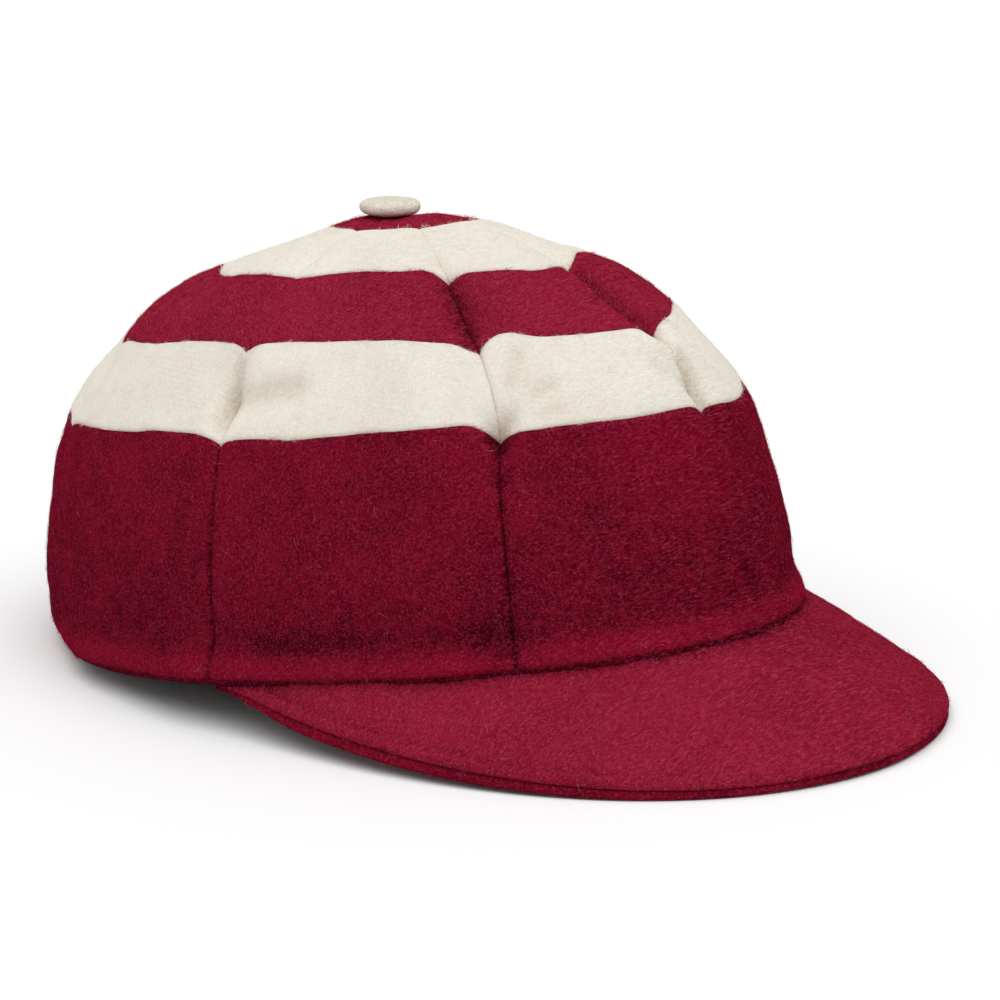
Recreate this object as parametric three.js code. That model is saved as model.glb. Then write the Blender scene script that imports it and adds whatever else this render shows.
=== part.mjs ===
// A felted wool cricket cap: a soft crown of eight gores sewn from maroon and cream hoops, a rolled hem,
// a sloping two-layer peak and a covered button. Millimetres, +Z up, the peak points to -Y.
// The cap rests by itself on its peak's edge and on the back of its hem.
import * as THREE from "three";

// Cloth and sewing
const clothThickness = 2.2;
const sewnGap = 0.3;
const seamDip = 3.0;
const seamDrop = 3.6;
const dentDepth = 4.0;

// Crown, measured square to the rim
const crownLength = 217;
const crownWidth = 168;
const crownDepth = 105.4;
const frontSag = 6.3;
const goreCount = 8;

// Hem
const hemHeight = 5.5;
const hemThickness = 3.0;

// Peak
const peakReach = 37;
const peakSlope = 0.69;
const peakSideSlope = 0.21;
const peakHalfSpan = 83;
const peakTuck = 2.4;
const peakThickness = 1.5;
const underProud = 0.5;
const peakOutlinePower = 1.23;

// Button
const buttonDiameter = 15.6;
const buttonHeight = 4.8;
const shankDiameter = 3.2;
const shankLength = 4.0;
const shankClearance = 0.9;
const buttonClearance = 0.6;

// How far the soft hem's back and the peak's edge are pressed flat where they rest
const hemPressed = 1.6;
const peakPressed = 0.3;

// Mesh steps
const goreColumns = [0, 0.06, 0.2, 0.4, 0.6, 0.8, 0.94, 1];
const hemSteps = 3;
const peakColumns = 36;
const peakRows = 5;
const buttonSides = 20;

const maroon = 0x861e33;
const darkMaroon = 0x6d1229;
const cream = 0xe6e0d2;
const buttonCream = 0xd8cebd;

const radians = THREE.MathUtils.degToRad;
const goreAngle = 360 / goreCount;
const eyeletRadius = shankDiameter / 2 + shankClearance;

// Crown sections from the rim up. height is a share of the crown's depth, and length and width are shares
// of its half length and half width. shift, a share of the half length, moves the front and the back towards
// the peak and leaves the sides. egg narrows the front and widens the back. dip, drop and sag are shares of
// seamDip, by which the seams sink in, of seamDrop, by which they pull the hoops' edges down, and of
// frontSag, by which the front hangs lower.
const sectionColumns = ["name", "height", "length", "width", "shift", "egg", "dip", "drop", "sag"];
const sections = [
  ["rim", 0, 0.946, 1.01, 0.027, 0.093, 0, 0, 0],
  ["turn", 0.108, 1, 1, -0.062, 0.097, 0.1, 0, 0],
  ["belly", 0.418, 0.96, 0.931, -0.056, 0.097, 0.21, 0.24, 0.4],
  ["band_top", 0.596, 0.901, 0.834, -0.028, 0.097, 0, 0.92, 1],
  ["low_cream_top", 0.792, 0.72, 0.683, 0.008, 0.093, 0.31, 1, 1],
  ["mid_maroon_top", 0.924, 0.479, 0.467, 0.022, 0.072, 1.2, 0.21, 0.7],
  ["high_cream_top", 0.995, 0.177, 0.173, 0.022, 0.041, 0.12, 0.31, 0.25],
  ["eyelet", 1, 0, 0, -0.017, 0, 0.1, 0, 0],
].map((row) => Object.fromEntries(sectionColumns.map((column, index) => [column, row[index]])));
const rowOf = Object.fromEntries(sections.map((section, index) => [section.name, index]));

// Main dents and creases: angle in degrees from the front seam towards the wearer's right, level as a row of
// the sections, spread in degrees and in rows, and depth as a share of dentDepth.
const dents = [
  { where: "right_front_seam_low_cream", angle: 46, level: 3.42, spread: 7, rows: 0.3, depth: 0.55 },
  { where: "right_front_seam_mid_maroon", angle: 46, level: 4.45, spread: 6, rows: 0.4, depth: 0.7 },
  { where: "right_side_seam_low_cream", angle: 92, level: 3.5, spread: 6, rows: 0.35, depth: 0.5 },
  { where: "front_seam_low_cream", angle: -1, level: 3.25, spread: 7, rows: 0.3, depth: 0.5 },
  { where: "front_seam_mid_maroon", angle: 0, level: 4.4, spread: 6, rows: 0.4, depth: 0.55 },
  { where: "over_the_hem_right", angle: 66, level: 0.85, spread: 19, rows: 0.33, depth: 0.4 },
  { where: "over_the_hem_left", angle: -66, level: 0.85, spread: 17, rows: 0.33, depth: 0.35 },
  { where: "left_front_seam_low_cream", angle: -45, level: 3.5, spread: 7, rows: 0.3, depth: 0.45 },
  { where: "left_side_seam_mid_maroon", angle: -91, level: 4.4, spread: 6, rows: 0.4, depth: 0.5 },
  { where: "back_right_seam_low_cream", angle: 136, level: 3.6, spread: 7, rows: 0.3, depth: 0.4 },
  { where: "back_seam_mid_maroon", angle: 178, level: 4.4, spread: 6, rows: 0.4, depth: 0.5 },
  { where: "left_front_low_cream", angle: -28, level: 3.6, spread: 20, rows: 0.7, depth: 0.3 },
  { where: "left_front_high_cream", angle: -62, level: 5.3, spread: 36, rows: 0.9, depth: 0.6 },
  { where: "right_back_high_cream", angle: 160, level: 5.5, spread: 36, rows: 0.8, depth: 0.45 },
];

// A smooth curve through one column of the sections that never swings past them
function along(column, row) {
  const last = sections.length - 1;
  const index = Math.min(Math.floor(row), last - 1);
  const step = (k) => sections[k + 1][column] - sections[k][column];
  const slope = (k) => {
    if (k === 0) return step(0);
    if (k === last) return step(last - 1);
    const before = step(k - 1);
    const after = step(k);
    return before * after > 0 ? (2 * before * after) / (before + after) : 0;
  };
  const t = row - index;
  const rise = step(index);
  const start = slope(index);
  const end = slope(index + 1);
  const bend = 3 * rise - 2 * start - end;
  return sections[index][column] + t * (start + t * (bend + t * (start + end - 2 * rise)));
}

// The smooth crown without seams or dents, angle in degrees from the front towards the wearer's right
function crownBase(angle, row) {
  const theta = radians(angle);
  const halfLength = eyeletRadius + (along("length", row) * (crownLength - 2 * eyeletRadius)) / 2;
  const halfWidth = eyeletRadius + (along("width", row) * (crownWidth - 2 * eyeletRadius)) / 2;
  const egg = 1 - along("egg", row) * Math.cos(theta);
  const sides = along("length", row) * Math.sin(theta) ** 2;
  const shift = (along("shift", row) * (1 - sides) * crownLength) / 2;
  const forward = halfLength * Math.cos(theta) + shift;
  const frontness = ((1 + Math.cos(theta)) / 2) ** 2;
  const height = along("height", row) * crownDepth - along("sag", row) * frontSag * frontness;
  return new THREE.Vector3(-halfWidth * Math.sin(theta) * egg, -forward, height);
}

// Directions round the crown, up the crown and out of it
function crownFrame(angle, row) {
  const reach = 0.01;
  const top = sections.length - 1;
  const low = Math.max(row - reach, 0);
  const high = Math.min(row + reach, top);
  const round = crownBase(angle + reach, row).sub(crownBase(angle - reach, row)).normalize();
  const up = crownBase(angle, high).sub(crownBase(angle, low)).normalize();
  const out = new THREE.Vector3().crossVectors(up, round).normalize();
  return { round, up, out };
}

// How near a seam an angle lies, from 0 in the middle of a gore to 1 on the seam. The front of the band is
// one wide piece, so the front seam only starts at the band's top.
function nearSeam(angle, row) {
  const seam = Math.round(angle / goreAngle);
  const near = 1 - 2 * Math.abs(angle / goreAngle - seam);
  const started = THREE.MathUtils.smoothstep(row, rowOf.band_top - 0.6, rowOf.band_top) ** 0.25;
  return seam === 0 ? near * started : near;
}

// How deep the surface lies below the smooth crown, from the seams' dips and the dents
function crownSink(angle, row) {
  let sink = seamDip * along("dip", row) * nearSeam(angle, row) ** 4;
  for (const dent of dents) {
    const turn = (((angle - dent.angle + 540) % 360) - 180) / dent.spread;
    const rise = (row - dent.level) / dent.rows;
    sink += dentDepth * dent.depth * Math.exp(-turn * turn - rise * rise);
  }
  return sink;
}

// A point of the crown's cloth: depth below the outside, and gaps to the neighbours round and up the crown
function crownPoint(angle, row, depth, roundGap = 0, upGap = 0) {
  const { round, up, out } = crownFrame(angle, row);
  const drop = seamDrop * along("drop", row) * nearSeam(angle, row) ** 3;
  return crownBase(angle, row)
    .addScaledVector(out, -crownSink(angle, row) - depth)
    .addScaledVector(round, roundGap)
    .addScaledVector(up, upGap - drop);
}

// The row at which the crown reaches a height
function rowAtHeight(height) {
  let low = 0;
  let high = rowOf.belly;
  for (let k = 0; k < 40; k += 1) {
    const middle = (low + high) / 2;
    if (along("height", middle) * crownDepth < height) low = middle;
    else high = middle;
  }
  return (low + high) / 2;
}
const hemRow = rowAtHeight(hemHeight);

// The peak in plan: its reach from the rim at an angle, and its height below the rim
function peakOutline(angle) {
  const share = Math.abs(angle) / peakHalfSpan;
  return peakReach * Math.max(1 - share * share, 0) ** peakOutlinePower;
}
function peakSteepness(angle) {
  return peakSlope + peakSideSlope * (angle / peakHalfSpan) ** 2;
}
function peakPoint(angle, share, proud, depth) {
  const theta = radians(angle);
  const outward = new THREE.Vector3(-Math.sin(theta), -Math.cos(theta), 0);
  const reach = -peakTuck + (peakOutline(angle) + proud + peakTuck) * share;
  const steep = peakSteepness(angle);
  const fall = steep * Math.max(reach, 0);
  return crownBase(angle, 0)
    .addScaledVector(outward, reach)
    .setZ(-sewnGap - fall - depth * Math.hypot(1, steep));
}

// The cap leans back until the back of its hem and its peak's edge lie on the surface, pressed flat there
const peakStack = 2 * peakThickness + sewnGap;
const backFoot = crownBase(180, 0);
const frontFoot = peakPoint(0, 1, underProud, peakStack);
const footRise = backFoot.z - frontFoot.z;
const footSpan = backFoot.y - frontFoot.y;
const pressedTurn = Math.asin((hemPressed - peakPressed) / Math.hypot(footRise, footSpan));
const lean = Math.atan2(footRise, footSpan) + pressedTurn;
const restHeight = backFoot.y * Math.sin(lean) - backFoot.z * Math.cos(lean) - hemPressed;
function rested(point) {
  const y = point.y * Math.cos(lean) + point.z * Math.sin(lean);
  const z = point.z * Math.cos(lean) - point.y * Math.sin(lean) + restHeight;
  return new THREE.Vector3(point.x, y, Math.max(z, 0));
}

function geometryOf(points, faces) {
  const positions = points.flatMap((point) => point.toArray());
  const geometry = new THREE.BufferGeometry();
  geometry.setAttribute("position", new THREE.Float32BufferAttribute(positions, 3));
  geometry.setIndex(faces);
  geometry.computeVertexNormals();
  return geometry;
}

// A closed sheet of cloth over a grid of columns and rows: pointAt(column, row, inner) gives its two faces
function sheet(columns, rows, pointAt) {
  const points = [];
  const faces = [];
  for (const inner of [false, true])
    for (let j = 0; j <= rows; j += 1)
      for (let i = 0; i <= columns; i += 1) points.push(rested(pointAt(i, j, inner)));
  const side = (columns + 1) * (rows + 1);
  const at = (i, j, inner) => (inner ? side : 0) + j * (columns + 1) + i;
  const quad = (a, b, c, d) => faces.push(a, b, c, a, c, d);
  for (let j = 0; j < rows; j += 1)
    for (let i = 0; i < columns; i += 1) {
      quad(at(i, j, false), at(i, j + 1, false), at(i + 1, j + 1, false), at(i + 1, j, false));
      quad(at(i, j, true), at(i + 1, j, true), at(i + 1, j + 1, true), at(i, j + 1, true));
    }
  for (let i = 0; i < columns; i += 1) {
    quad(at(i, 0, false), at(i + 1, 0, false), at(i + 1, 0, true), at(i, 0, true));
    quad(at(i + 1, rows, false), at(i, rows, false), at(i, rows, true), at(i + 1, rows, true));
  }
  for (let j = 0; j < rows; j += 1) {
    quad(at(0, j + 1, false), at(0, j, false), at(0, j, true), at(0, j + 1, true));
    quad(at(columns, j, false), at(columns, j + 1, false), at(columns, j + 1, true), at(columns, j, true));
  }
  return geometryOf(points, faces);
}

// One strip of a hoop, from one seam to another, drawn in by half a gap at its edges
function hoopStrip(firstGore, gores, fromRow, toRow, steps) {
  const columns = [];
  for (let g = 0; g < gores; g += 1)
    for (const share of goreColumns) if (g === 0 || share > 0) columns.push(g + share);
  const drawnIn = (share) => (sewnGap / 2) * (1 - 2 * share);
  return sheet(columns.length - 1, steps, (i, j, inner) => {
    const angle = (firstGore + columns[i]) * goreAngle;
    const row = fromRow + ((toRow - fromRow) * j) / steps;
    const upGap = row === sections.length - 1 ? 0 : drawnIn(j / steps);
    return crownPoint(angle, row, inner ? clothThickness : 0, drawnIn(columns[i] / gores), upGap);
  });
}

// The hem: a closed ring of rolled cloth, upright at the rim and square to the crown where the band starts
function hemRing() {
  const columns = [];
  for (let g = 0; g < goreCount; g += 1)
    for (const share of goreColumns) if (share < 1) columns.push((g + share) * goreAngle);
  const points = [];
  const faces = [];
  const around = 2 * (hemSteps + 1);
  for (const angle of columns)
    for (let k = 0; k < around; k += 1) {
      const inner = k > hemSteps;
      const step = inner ? around - 1 - k : k;
      const row = (hemRow * step) / hemSteps;
      const { up, out } = crownFrame(angle, row);
      out.setZ((out.z * step) / hemSteps).normalize();
      const point = crownBase(angle, row).addScaledVector(out, inner ? -hemThickness : 0);
      if (step === hemSteps) point.addScaledVector(up, -sewnGap / 2);
      points.push(rested(point));
    }
  columns.forEach((_, i) => {
    const next = (i + 1) % columns.length;
    for (let k = 0; k < around; k += 1) {
      const after = (k + 1) % around;
      const a = i * around + k;
      const b = i * around + after;
      const c = next * around + after;
      const d = next * around + k;
      faces.push(a, b, c, a, c, d);
    }
  });
  return geometryOf(points, faces);
}

// One layer of the peak: top is its depth under the peak's upper side
function peakLayer(top, proud) {
  return sheet(peakColumns, peakRows, (i, j, inner) => {
    const angle = peakHalfSpan * (1 - (2 * i) / peakColumns);
    return peakPoint(angle, j / peakRows, proud, top + (inner ? peakThickness : 0));
  });
}

// The covered button: a domed disc with a shank that goes down through the crown's eyelet
function button() {
  const radius = buttonDiameter / 2;
  const shank = shankDiameter / 2;
  const profile = [
    [0, -shankLength],
    [shank, -shankLength],
    [shank, buttonClearance],
    [0.78 * radius, buttonClearance],
    [0.95 * radius, buttonClearance + 0.18 * buttonHeight],
    [radius, buttonClearance + 0.45 * buttonHeight],
    [0.95 * radius, buttonClearance + 0.72 * buttonHeight],
    [0.78 * radius, buttonClearance + 0.9 * buttonHeight],
    [0.4 * radius, buttonClearance + buttonHeight],
    [0, buttonClearance + buttonHeight],
  ].map(([r, z]) => new THREE.Vector2(r, z));
  const geometry = new THREE.LatheGeometry(profile, buttonSides);
  const seat = crownBase(0, sections.length - 1);
  geometry.rotateX(Math.PI / 2);
  geometry.translate(0, seat.y + eyeletRadius, crownDepth);
  geometry.deleteAttribute("uv");
  const position = geometry.getAttribute("position");
  const point = new THREE.Vector3();
  for (let k = 0; k < position.count; k += 1) {
    const placed = rested(point.fromBufferAttribute(position, k));
    position.setXYZ(k, placed.x, placed.y, placed.z);
  }
  return geometry;
}

const cap = new THREE.Group();
function add(name, geometry, color) {
  const material = new THREE.MeshStandardMaterial({ color, roughness: 0.95, metalness: 0 });
  const mesh = new THREE.Mesh(geometry, material);
  mesh.name = name;
  cap.add(mesh);
}

// Gores are counted from the front seam towards the wearer's right. The band's front piece spans the last and
// the first gore without a seam.
const hoops = [
  { name: "low_cream", from: "band_top", to: "low_cream_top", steps: 3, color: cream },
  { name: "mid_maroon", from: "low_cream_top", to: "mid_maroon_top", steps: 3, color: maroon },
  { name: "high_cream", from: "mid_maroon_top", to: "high_cream_top", steps: 3, color: cream },
  { name: "tip_maroon", from: "high_cream_top", to: "eyelet", steps: 2, color: maroon },
];
add("band_front", hoopStrip(-1, 2, hemRow, rowOf.band_top, 6), darkMaroon);
for (let gore = 1; gore < goreCount - 1; gore += 1)
  add("band_gore_" + (gore + 1), hoopStrip(gore, 1, hemRow, rowOf.band_top, 6), darkMaroon);
for (const hoop of hoops)
  for (let gore = 0; gore < goreCount; gore += 1)
    add(
      hoop.name + "_gore_" + (gore + 1),
      hoopStrip(gore, 1, rowOf[hoop.from], rowOf[hoop.to], hoop.steps),
      hoop.color,
    );
add("hem", hemRing(), maroon);
add("peak_top", peakLayer(0, 0), maroon);
add("peak_under", peakLayer(peakThickness + sewnGap, underProud), darkMaroon);
add("button", button(), buttonCream);

// The origin is under the middle of the cap, on the surface that it rests on
const box = new THREE.Box3().setFromObject(cap);
const middle = box.getCenter(new THREE.Vector3());
cap.position.set(-middle.x, -middle.y, -box.min.z);

export default cap;
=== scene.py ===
# %% [markdown]
# # A felted wool cricket cap
# The real cap is a soft crown sewn from eight gores under a covered button. Each gore is pieced from
# strips of maroon and cream wool. The front of the deep maroon band is one wide piece, the cloth is
# rolled into a hem at the rim, and a short peak of two layers is sewn on at the front. The measured
# model is loaded first. Its strips are plain and stiff, so each one is made again here as soft cloth,
# in its own place, and stands for it.

# %% Load the measured cap
import math

import bpy
import numpy as np
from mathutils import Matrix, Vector


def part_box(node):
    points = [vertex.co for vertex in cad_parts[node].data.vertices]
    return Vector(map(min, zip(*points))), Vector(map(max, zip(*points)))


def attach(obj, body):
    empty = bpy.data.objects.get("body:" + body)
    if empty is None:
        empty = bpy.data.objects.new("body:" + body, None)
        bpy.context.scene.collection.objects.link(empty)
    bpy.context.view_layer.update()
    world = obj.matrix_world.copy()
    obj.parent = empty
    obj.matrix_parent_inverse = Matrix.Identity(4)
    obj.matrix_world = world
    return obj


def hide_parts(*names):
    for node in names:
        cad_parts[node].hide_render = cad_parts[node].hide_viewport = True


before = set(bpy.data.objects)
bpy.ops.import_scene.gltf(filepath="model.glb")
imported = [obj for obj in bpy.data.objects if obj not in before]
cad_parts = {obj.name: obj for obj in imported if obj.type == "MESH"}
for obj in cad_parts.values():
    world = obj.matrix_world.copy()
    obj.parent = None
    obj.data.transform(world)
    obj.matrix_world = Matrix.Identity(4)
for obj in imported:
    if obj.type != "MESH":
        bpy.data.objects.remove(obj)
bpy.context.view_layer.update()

# %% [markdown]
# ## The camera
# The photograph is taken from the front right of the wearer, a little above the cap. A camera can be
# placed by eye, but then no seam would land where the photograph has it. So the direction, the
# distance and the lens were found by matching the seams, the hoops' edges and the outline, and the
# numbers below are the result.

# %% Camera
view_turn = math.radians(-50.07)
view_rise = math.radians(12.88)
view_distance = 0.860
lens_length = 120.3
aim_right = 0.0011
aim_down = 0.0145
backwards = Vector((math.sin(view_turn), -math.cos(view_turn), 0)) * math.cos(view_rise)
backwards.z = math.sin(view_rise)
rightwards = Vector((math.cos(view_turn), math.sin(view_turn), 0))
upwards = backwards.cross(rightwards)
matched_point = Vector((0, -0.0049, 0.060))
eye = matched_point + backwards * view_distance
aim = matched_point + rightwards * aim_right - upwards * aim_down

camera_data = bpy.data.cameras.new("camera")
camera_data.lens = lens_length
camera_data.sensor_width = 36
camera = bpy.data.objects.new("camera", camera_data)
bpy.context.scene.collection.objects.link(camera)
camera.location = eye
camera.rotation_euler = (eye - aim).to_track_quat("Z", "Y").to_euler()
bpy.context.scene.camera = camera
print("camera", round((eye - aim).length * 1000), "mm away, lens", round(camera_data.lens, 1), "mm")

# %% [markdown]
# ## Floor and light
# A plain white floor runs far past the view. A few small lamps would give hard shadows that the
# photograph doesn't have, so one very wide soft light stands almost overhead, as a softbox does over
# a table. It makes the tops bright and leaves the upright band deeper, and pale surroundings fill the
# rest.

# %% Floor and light
floor_reach = 12
floor_below = 0.0002
floor_colour = (0.95, 0.95, 0.95)
surroundings_strength = 0.58
light_strength = 1.72
light_width = math.radians(80)
towards_light = Vector((-0.26, -0.16, 1))


def plain_material(name, colour, roughness, gloss):
    material = bpy.data.materials.new(name)
    material.use_nodes = True
    shader = material.node_tree.nodes["Principled BSDF"]
    shader.inputs["Base Color"].default_value = (*colour, 1)
    shader.inputs["Roughness"].default_value = roughness
    shader.inputs["Specular IOR Level"].default_value = gloss
    return material


floor_corners = [(-1, -1), (1, -1), (1, 1), (-1, 1)]
floor_mesh = bpy.data.meshes.new("floor")
floor_points = [(x * floor_reach, y * floor_reach, 0) for x, y in floor_corners]
floor_mesh.from_pydata(floor_points, [], [(0, 1, 2, 3)])
floor = bpy.data.objects.new("floor", floor_mesh)
bpy.context.scene.collection.objects.link(floor)
floor.location.z = -floor_below
floor.data.materials.append(plain_material("white floor", floor_colour, 0.9, gloss=0.1))

world = bpy.data.worlds.new("pale surroundings")
bpy.context.scene.world = world
world.use_nodes = True
background = world.node_tree.nodes["Background"]
background.inputs["Color"].default_value = (1, 1, 1, 1)
background.inputs["Strength"].default_value = surroundings_strength

lamp = bpy.data.lights.new("wide light above", "SUN")
lamp.energy = light_strength
lamp.angle = light_width
light = bpy.data.objects.new("wide light above", lamp)
bpy.context.scene.collection.objects.link(light)
light.rotation_euler = towards_light.to_track_quat("Z", "Y").to_euler()
bpy.context.scene.view_settings.view_transform = "Standard"
print("floor", 2 * floor_reach, "m wide, one wide light")

# %% [markdown]
# ## The shape of the crown
# The crown is a stack of egg-shaped sections. It could be sculpted, or a round form could be squeezed
# until it fits, but then no strip would know where its seams lie. So it follows a rule: each column
# below holds shares of a few named sizes, from the rim up to the eyelet under the button. An angle is
# counted from the front seam towards the wearer's right, and a row counts the sections. The measured
# pieces come from the same rule.

# %% Named sizes and sections, in millimetres
MM = 0.001
cloth_thickness = 2.2
seam_dip = 3.0
seam_drop = 3.6
dent_depth = 4.0
crown_length = 217
crown_width = 168
crown_depth = 105.4
front_sag = 6.3
gore_count = 8
gore_angle = 360 / gore_count
eyelet_radius = 2.5
hem_height = 5.5
hem_thickness = 3.0

row_names = ["rim", "turn", "belly", "band_top"]
row_names += ["low_cream_top", "mid_maroon_top", "high_cream_top", "eyelet"]
row_of = {name: index for index, name in enumerate(row_names)}
last_row = len(row_names) - 1
sections = {
    "height": [0, 0.108, 0.418, 0.596, 0.792, 0.924, 0.995, 1],
    "length": [0.946, 1, 0.96, 0.901, 0.72, 0.479, 0.177, 0],
    "width": [1.01, 1, 0.931, 0.834, 0.683, 0.467, 0.173, 0],
    "shift": [0.027, -0.062, -0.056, -0.028, 0.008, 0.022, 0.022, -0.017],
    "egg": [0.093, 0.097, 0.097, 0.097, 0.093, 0.072, 0.041, 0],
    "dip": [0, 0.1, 0.21, 0, 0.31, 1.2, 0.12, 0.1],
    "drop": [0, 0, 0.24, 0.92, 1, 0.21, 0.31, 0],
    "sag": [0, 0, 0.4, 1, 1, 0.7, 0.25, 0],
}
print("crown", crown_length, "x", crown_width, "mm,", crown_depth, "mm deep,", len(row_names), "sections")

# %% [markdown]
# ## Smooth curves between the sections
# A straight line from section to section would leave a kink at each, and a free curve would swing
# past them and bulge. This curve passes through every value and never overshoots, because it runs
# level wherever the values turn back.

# %% A smooth curve through one column
def along(column, row):
    values = np.array(sections[column], dtype=float)
    steps = np.diff(values)
    slopes = np.zeros(len(values))
    slopes[0], slopes[-1] = steps[0], steps[-1]
    for k in range(1, len(steps)):
        before, after = steps[k - 1], steps[k]
        slopes[k] = 2 * before * after / (before + after) if before * after > 0 else 0
    row = np.asarray(row, dtype=float)
    index = np.minimum(np.floor(row).astype(int), last_row - 1)
    t = row - index
    rise, start, end = steps[index], slopes[index], slopes[index + 1]
    bend = 3 * rise - 2 * start - end + t * (start + end - 2 * rise)
    return values[index] + t * (start + t * bend)


def unit(vectors):
    return vectors / np.linalg.norm(vectors, axis=-1, keepdims=True)


def smooth_step(value, low, high):
    t = np.clip((value - low) / (high - low), 0, 1)
    return t * t * (3 - 2 * t)


print("height of the belly", round(float(along("height", row_of["belly"])) * crown_depth, 1), "mm")

# %% [markdown]
# ## A point on the crown
# One function gives the point for an angle and a row, and another gives the directions round the
# crown, up it and out of it there. Everything that is sewn below is placed with these two, so pieces
# that meet share their edges.

# %% The smooth crown and the directions on it
def crown_base(angle, row):
    turn = np.radians(angle)
    half_length = eyelet_radius + along("length", row) * (crown_length - 2 * eyelet_radius) / 2
    half_width = eyelet_radius + along("width", row) * (crown_width - 2 * eyelet_radius) / 2
    egg = 1 - along("egg", row) * np.cos(turn)
    sides = along("length", row) * np.sin(turn) ** 2
    forward = half_length * np.cos(turn) + along("shift", row) * (1 - sides) * crown_length / 2
    frontness = ((1 + np.cos(turn)) / 2) ** 2
    height = along("height", row) * crown_depth - along("sag", row) * front_sag * frontness
    return np.stack([-half_width * np.sin(turn) * egg, -forward, height + 0 * turn], axis=-1)


def crown_frame(angle, row):
    little = 0.01
    around = unit(crown_base(angle + little, row) - crown_base(angle - little, row))
    above = crown_base(angle, np.minimum(row + little, last_row))
    below = crown_base(angle, np.maximum(row - little, 0))
    up = unit(above - below)
    return around, up, unit(np.cross(up, around))


widest = crown_base(np.array([90.0, -90.0]), np.array([1.0, 1.0]))
print("width over the turn", round(float(abs(widest[0, 0] - widest[1, 0])), 1), "mm")

# %% [markdown]
# ## Seams, dents and folds
# Eight seams pull the cloth in, and pull the hoops' edges down in small scallops. Worn felt also
# keeps soft dents where a hand has held it. A cloth simulation would find dents of its own, in places
# that the photograph doesn't show, so each dent is one row of a short table, placed one by one
# against the photograph.

# %% Dents and creases
#                      angle, row, spread in degrees, in rows, depth as a share of dent_depth
dents = {
    "right_front_seam_low_cream": (45.5, 3.15, 6, 0.25, 0.45),
    "right_front_seam_mid_maroon": (46, 4.45, 6, 0.4, 0.7),
    "right_side_seam_low_cream": (92, 3.5, 6, 0.35, 0.5),
    "front_seam_low_cream": (-1, 3.25, 7, 0.3, 0.5),
    "front_seam_mid_maroon": (0, 4.4, 6, 0.4, 0.55),
    "over_the_hem_right": (66, 0.85, 19, 0.33, 0.4),
    "over_the_hem_left": (-66, 0.85, 17, 0.33, 0.35),
    "left_front_seam_low_cream": (-45, 3.5, 7, 0.3, 0.45),
    "left_side_seam_mid_maroon": (-91, 4.4, 6, 0.4, 0.5),
    "back_right_seam_low_cream": (136, 3.6, 7, 0.3, 0.4),
    "back_seam_mid_maroon": (178, 4.4, 6, 0.4, 0.5),
    "left_front_low_cream": (-28, 3.6, 20, 0.7, 0.3),
    "left_front_high_cream": (-62, 5.3, 36, 0.9, 0.6),
    "right_back_high_cream": (160, 5.5, 36, 0.8, 0.45),
    "puff_before_the_button": (4, 6.5, 34, 0.25, -0.45),
}
#                 front seam, then every 45 degrees towards the wearer's right
seam_strengths = [0.95, 0.8, 0.08, 0.12, 0.6, 0.8, 0.8, 0.8]
high_seam_strength = 0.35


def seam_strength(angle, row):
    seam = np.round(angle / gore_angle).astype(int) % gore_count
    strength = np.array(seam_strengths)[seam]
    strength = strength + (high_seam_strength - strength) * smooth_step(row, 4.7, 5.5)
    return 1 + (strength - 1) * smooth_step(row, row_of["band_top"], row_of["low_cream_top"])


def near_seam(angle, row):
    seam = np.round(angle / gore_angle)
    near = 1 - 2 * np.abs(angle / gore_angle - seam)
    starts = smooth_step(row, row_of["band_top"] - 0.6, row_of["band_top"]) ** 0.25
    return np.where(seam % gore_count == 0, near * starts, near)


def crown_sink(angle, row):
    sink = seam_dip * along("dip", row) * near_seam(angle, row) ** 4 * seam_strength(angle, row)
    for where, level, spread, rows, depth in dents.values():
        turn = ((angle - where + 540) % 360 - 180) / spread
        rise = (row - level) / rows
        sink = sink + dent_depth * depth * np.exp(-turn * turn - rise * rise)
    return sink


print(len(dents), "dents, up to", max(d[4] for d in dents.values()) * dent_depth, "mm deep")

# %% [markdown]
# ## Finer folds and lumps
# Beside the seams lie sharper creases, each along a short line, with cloth pushed up at both sides.
# Over all of it run low lumps, which are sums of long waves in chance directions. The seed is fixed,
# so they come out the same each time.

# %% Finer folds, creases and lumps of the worn felt
#                      from (angle, row)   to (angle, row)   width and depth in mm
folds = {
    "pit beside the right front seam": ((45.0, 2.98), (44.2, 3.14), 3.0, 2.0),
    "pit's upper fold": ((43.5, 3.36), (38, 3.74), 2.2, 0.6),
    "pit's middle fold": ((42.5, 3.24), (34, 3.46), 2.0, 0.55),
    "pit's lower fold": ((41.5, 3.13), (34, 3.2), 1.8, 0.45),
    "right front seam, middle hoop": ((46, 4.05), (45.4, 4.9), 2.4, 1.4),
    "front seam, middle hoop": ((0.6, 3.95), (-0.6, 4.85), 2.6, 1.3),
    "front seam, low cream": ((-1.5, 3.08), (-1.5, 3.6), 3.2, 1.3),
    "front seam's side fold": ((1.5, 3.3), (8, 3.55), 2.2, 0.5),
    "hollow before the right side seam": ((89.5, 3.42), (79, 3.5), 4.0, 0.9),
    "right side seam, low cream": ((91.5, 3.2), (90.6, 3.8), 3.0, 1.1),
    "over the hem": ((82, 0.92), (46, 0.8), 4.5, 0.8),
    "band under the right front seam": ((45.5, 2.95), (44.6, 2.3), 3.0, 0.9),
    "left front seam, low cream": ((-45, 3.1), (-44, 3.7), 3.0, 1.0),
    "back seam, middle hoop": ((180, 4.05), (179.5, 4.8), 2.6, 1.2),
    "left back seam, low cream": ((-135, 3.2), (-134, 3.8), 2.8, 1.0),
}


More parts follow.
